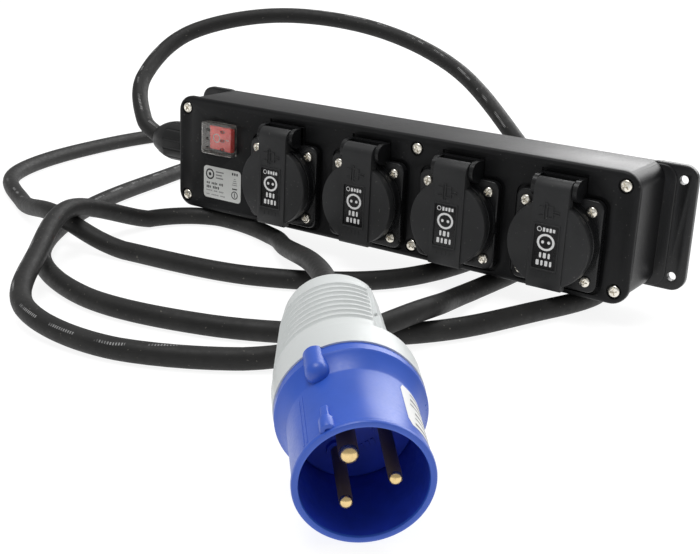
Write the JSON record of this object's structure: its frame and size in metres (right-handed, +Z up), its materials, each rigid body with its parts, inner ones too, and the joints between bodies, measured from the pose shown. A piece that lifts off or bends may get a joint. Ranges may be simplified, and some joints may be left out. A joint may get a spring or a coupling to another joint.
{
  "type": "portable power distribution box",
  "caption": "Long black box with sprung flap-covered sockets, a capped rocker switch, wall tabs, a cable gland, a heavy rubber cable and a blue pin plug.",
  "frame": {"origin": "centre of the four wall-mount holes, on the wall face of the housing", "axes": "+X along the box away from the cable gland, +Y out of the back into the wall, +Z up; the sockets face -Y"},
  "size_m": [0.5291, 0.5737, 0.1255],
  "materials": {
    "housing_plastic": "satin moulded black plastic, fine spark texture",
    "cover_plastic": "satin moulded black plastic, fine spark texture",
    "socket_plastic": "semi-matt black plastic",
    "lid_plastic": "semi-matt black plastic, fine texture",
    "insert_plastic": "matt black thermoset",
    "seal_rubber": "matt black rubber",
    "cable_rubber": "dusty matt black rubber sheath",
    "zinc": "bright zinc-plated steel",
    "spring_steel": "bright spring steel",
    "brass": "machined brass, darker along the shanks",
    "copper": "plain copper",
    "terminal_plastic": "cream plastic",
    "rocker_red": "translucent red plastic",
    "clear_cap": "clear flexible splash cap, slightly yellowed",
    "switch_plastic": "black plastic",
    "label_white": "white printed label",
    "gland_plastic": "black nylon",
    "plug_blue": "satin blue plastic",
    "plug_grey": "satin light-grey plastic"
  },
  "bodies": {
    "root": {"housing": "housing_plastic", "front_cover": "cover_plastic", "cover_gasket": "seal_rubber", "cover_screws": "zinc", "flange_gaskets": "seal_rubber", "flange_screws": "zinc", "lid_hinge_pins": "spring_steel", "lid_springs": "spring_steel", "switch_body": "switch_plastic", "switch_pivot": "spring_steel", "switch_cap": "clear_cap", "switch_terminals": "brass", "rating_label": "label_white", "gland_body": "gland_plastic", "gland_locknut": "gland_plastic", "gland_dome": "gland_plastic", "gland_seal": "seal_rubber", "cable_tail": "cable_rubber", "terminal_block": "terminal_plastic", "busbars": "copper", "cable_arch": "cable_rubber", "cable_floor": "cable_rubber", "plug_handle": "plug_grey", "plug_front": "plug_blue", "plug_pin_carrier": "plug_blue", "plug_earth_pin": "brass", "plug_current_pins": "brass", "plug_cord_clamp": "spring_steel", "plug_screws": "zinc", "plug_grommet": "seal_rubber", "socket_1_flange": "socket_plastic", "socket_1_cup": "socket_plastic", "socket_1_insert": "insert_plastic", "socket_1_contacts": "brass", "socket_1_earth_clips": "spring_steel", "socket_2_flange": "socket_plastic", "socket_2_cup": "socket_plastic", "socket_2_insert": "insert_plastic", "socket_2_contacts": "brass", "socket_2_earth_clips": "spring_steel", "socket_3_flange": "socket_plastic", "socket_3_cup": "socket_plastic", "socket_3_insert": "insert_plastic", "socket_3_contacts": "brass", "socket_3_earth_clips": "spring_steel", "socket_4_flange": "socket_plastic", "socket_4_cup": "socket_plastic", "socket_4_insert": "insert_plastic", "socket_4_contacts": "brass", "socket_4_earth_clips": "spring_steel"},
    "lid_1": {"lid_1": "lid_plastic", "lid_1_seal": "seal_rubber"},
    "lid_2": {"lid_2": "lid_plastic", "lid_2_seal": "seal_rubber"},
    "lid_3": {"lid_3": "lid_plastic", "lid_3_seal": "seal_rubber"},
    "lid_4": {"lid_4": "lid_plastic", "lid_4_seal": "seal_rubber"},
    "rocker": {"switch_rocker": "rocker_red"}
  },
  "joints": [
    {"name": "lid_1_hinge", "type": "hinge", "parent": "root", "child": "lid_1", "pos_m": [-0.0679, -0.0554, 0.0224], "axis": [-1, 0, 0], "range_deg": [0, 110], "stiffness_Nm_per_rad": 0.02, "springref_deg": -57.3},
    {"name": "lid_2_hinge", "type": "hinge", "parent": "root", "child": "lid_2", "pos_m": [-0.0072, -0.0554, 0.0224], "axis": [-1, 0, 0], "range_deg": [0, 110], "stiffness_Nm_per_rad": 0.02, "springref_deg": -57.3},
    {"name": "lid_3_hinge", "type": "hinge", "parent": "root", "child": "lid_3", "pos_m": [0.0535, -0.0554, 0.0224], "axis": [-1, 0, 0], "range_deg": [0, 110], "stiffness_Nm_per_rad": 0.02, "springref_deg": -57.3},
    {"name": "lid_4_hinge", "type": "hinge", "parent": "root", "child": "lid_4", "pos_m": [0.1142, -0.0554, 0.0224], "axis": [-1, 0, 0], "range_deg": [0, 110], "stiffness_Nm_per_rad": 0.02, "springref_deg": -57.3},
    {"name": "rocker_pivot", "type": "hinge", "parent": "root", "child": "rocker", "pos_m": [-0.1184, -0.0448, 0.0127], "axis": [0, 0, 1], "range_deg": [0, 16]}
  ]
}
